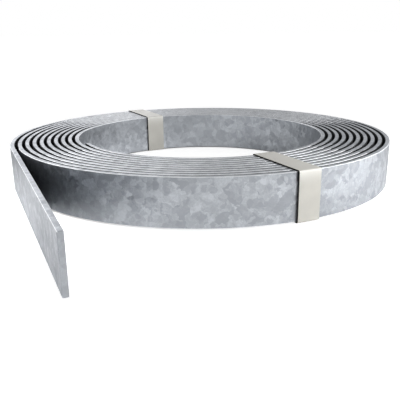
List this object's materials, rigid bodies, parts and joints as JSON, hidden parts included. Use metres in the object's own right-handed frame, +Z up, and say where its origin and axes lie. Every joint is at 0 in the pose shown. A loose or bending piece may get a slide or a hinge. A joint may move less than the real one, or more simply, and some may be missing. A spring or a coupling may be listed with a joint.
{
  "type": "steel coil",
  "caption": "Flat galvanised steel strip wound in open turns into a coil that lies flat, tied across its turns by painted straps, with its straight outer end left loose.",
  "frame": {"origin": "on the coil's axis, at the level floor that the undersides of its straps rest on", "axes": "+Z up along the coil's axis, -Y towards the loose tail's end, +X to the right of someone who faces the coil from the tail's side"},
  "size_m": [0.3744, 0.4811, 0.042],
  "materials": {
    "galvanised_steel": "hot-dip zinc with a spangle, satin",
    "painted_strap": "satin ivory paint"
  },
  "bodies": {
    "root": {"wound_strip": "galvanised_steel", "strap_front": "painted_strap", "strap_back": "painted_strap"}
  },
  "joints": []
}
